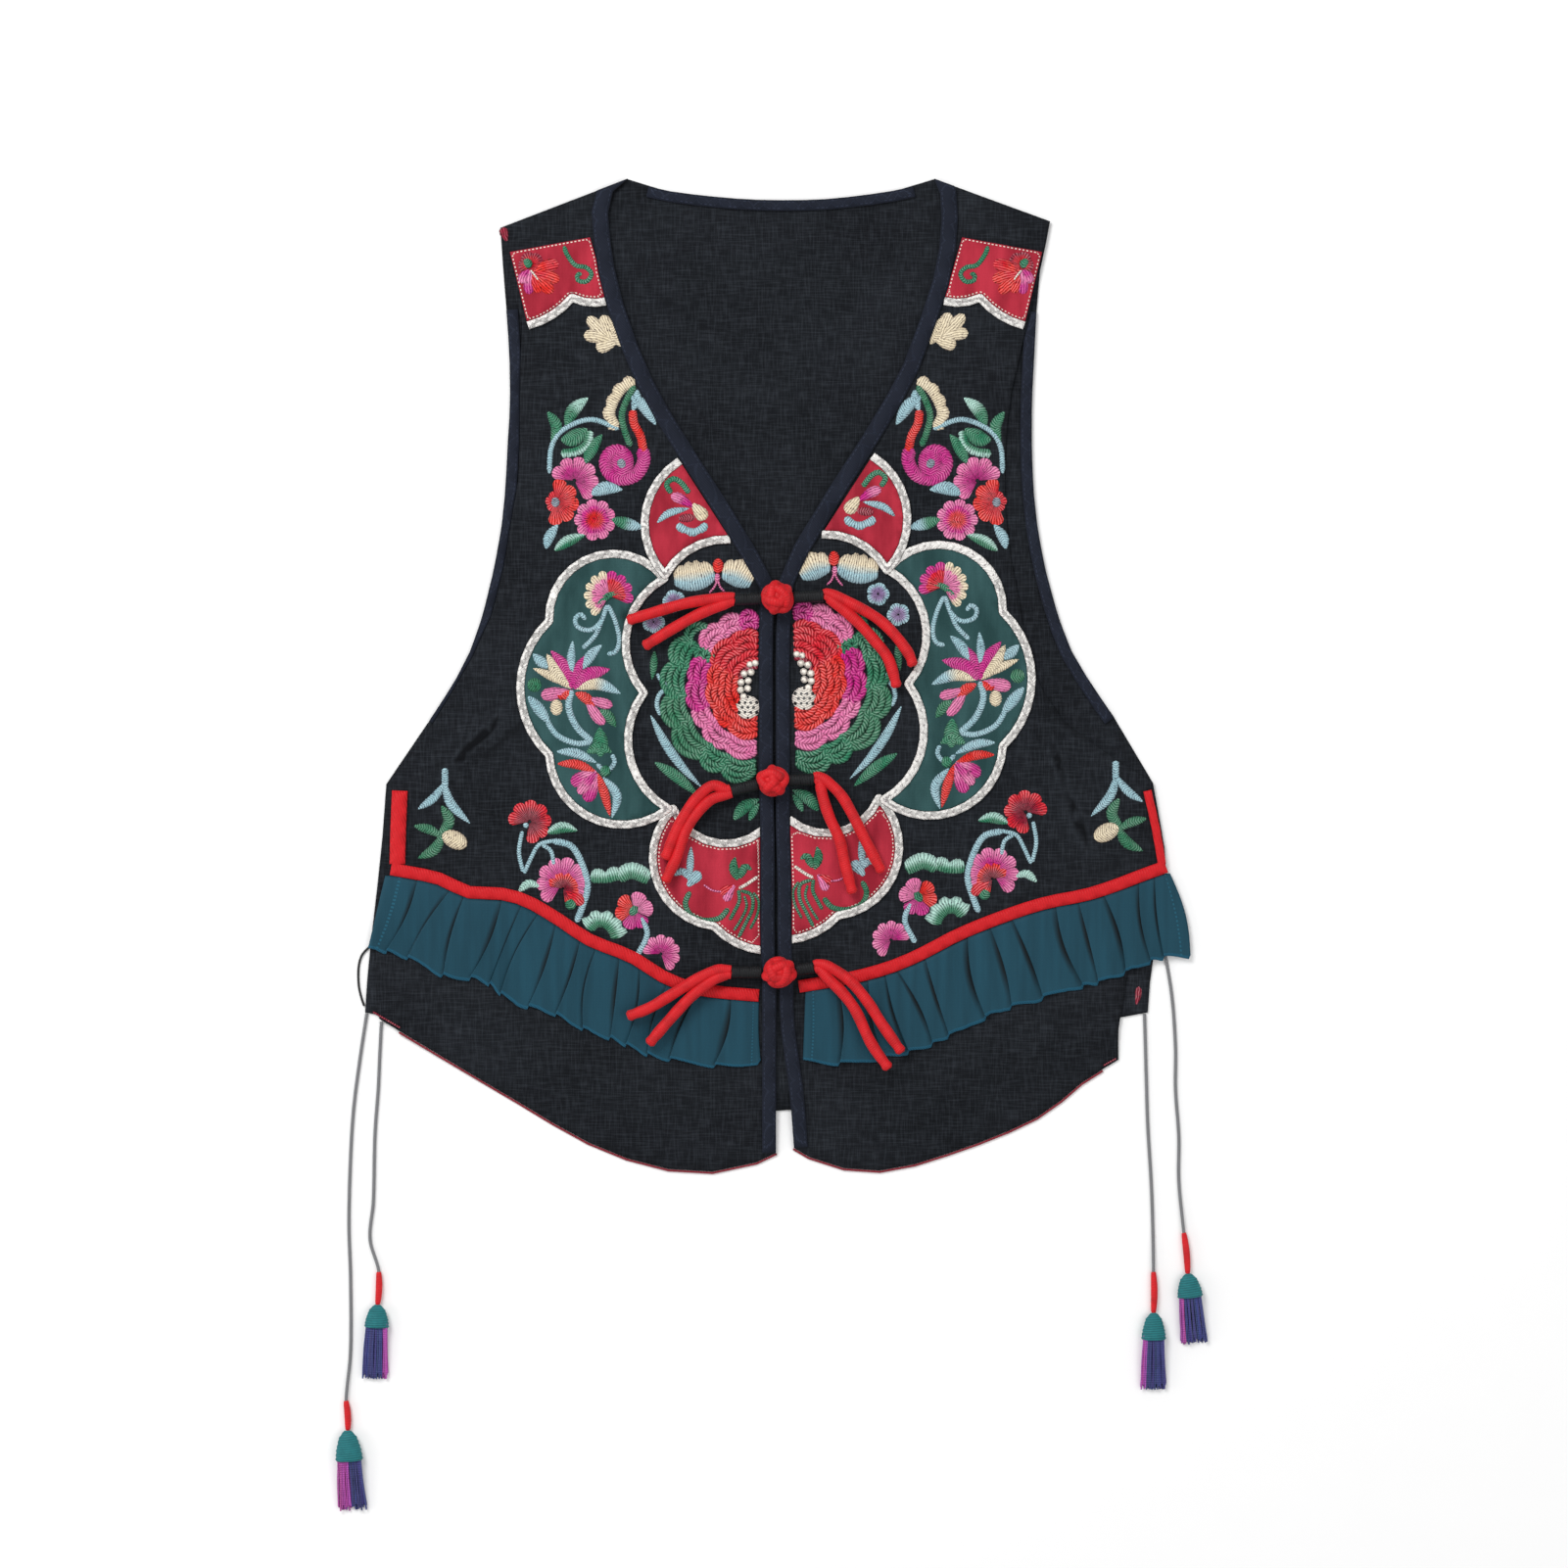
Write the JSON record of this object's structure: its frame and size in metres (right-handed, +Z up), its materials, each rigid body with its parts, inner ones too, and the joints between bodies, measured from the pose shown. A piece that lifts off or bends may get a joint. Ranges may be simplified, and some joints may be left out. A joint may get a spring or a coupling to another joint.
{
  "type": "waistcoat",
  "caption": "Sleeveless V-neck waistcoat laid flat, with appliqued medallion, embroidery, knot buttons, ruffled hem tape and tasselled side ties.",
  "frame": {"origin": "on the underside, below the middle of the garment's box without its ties", "axes": "+X to the right as the garment is looked down on, +Y from the hem to the collar, +Z up from the surface it lies on"},
  "size_m": [0.5344, 0.8171, 0.0201],
  "materials": {
    "linen": "charcoal slub linen, plain weave",
    "binding": "navy cotton binding, topstitched",
    "red_tape": "bright red woven tape",
    "crimson_cotton": "crimson cotton",
    "green_cotton": "dark green cotton",
    "white_braid": "off-white couched braid with dark ticks",
    "chiffon": "thin teal ruffle cloth with a brighter overlocked edge",
    "embroidery": "satin and braid stitch in silk thread",
    "knot_cord": "red rolled cloth cord",
    "black_thread": "wound black thread",
    "tie_cord": "thin red twisted cord",
    "tassel_thread": "silky tassel thread"
  },
  "bodies": {
    "root": {"back_panel": "linen", "back_neck_band": "binding", "front_left": "linen", "front_band_left": "binding", "armhole_band_left": "binding", "hem_piping_left": "red_tape", "red_tape_left": "red_tape", "ruffle_left": "chiffon", "shoulder_patch_left": "crimson_cotton", "shoulder_patch_edging_left": "white_braid", "upper_petal_left": "crimson_cotton", "upper_petal_edging_left": "white_braid", "side_lobe_left": "green_cotton", "side_lobe_edging_left": "white_braid", "lower_petal_left": "crimson_cotton", "lower_petal_edging_left": "white_braid", "peony_left": "embroidery", "front_right": "linen", "front_band_right": "binding", "armhole_band_right": "binding", "hem_piping_right": "red_tape", "red_tape_right": "red_tape", "ruffle_right": "chiffon", "shoulder_patch_right": "crimson_cotton", "shoulder_patch_edging_right": "white_braid", "upper_petal_right": "crimson_cotton", "upper_petal_edging_right": "white_braid", "side_lobe_right": "green_cotton", "side_lobe_edging_right": "white_braid", "lower_petal_right": "crimson_cotton", "lower_petal_edging_right": "white_braid", "peony_right": "embroidery", "knot_button_1": "knot_cord", "frog_1_sleeve_left": "black_thread", "frog_1_tails_left": "knot_cord", "frog_1_sleeve_right": "black_thread", "frog_1_tails_right": "knot_cord", "knot_button_2": "knot_cord", "frog_2_sleeve_left": "black_thread", "frog_2_tails_left": "knot_cord", "frog_2_sleeve_right": "black_thread", "frog_2_tails_right": "knot_cord", "knot_button_3": "knot_cord", "frog_3_sleeve_left": "black_thread", "frog_3_tails_left": "knot_cord", "frog_3_sleeve_right": "black_thread", "frog_3_tails_right": "knot_cord", "tie_cord_left_outer": "tie_cord", "tie_sleeve_left_outer": "tie_cord", "tassel_left_outer": "tassel_thread", "tie_cord_left_inner": "tie_cord", "tie_sleeve_left_inner": "tie_cord", "tassel_left_inner": "tassel_thread", "tie_cord_right_inner": "tie_cord", "tie_sleeve_right_inner": "tie_cord", "tassel_right_inner": "tassel_thread", "tie_cord_right_outer": "tie_cord", "tie_sleeve_right_outer": "tie_cord", "tassel_right_outer": "tassel_thread", "side_loop": "black_thread"}
  },
  "joints": []
}
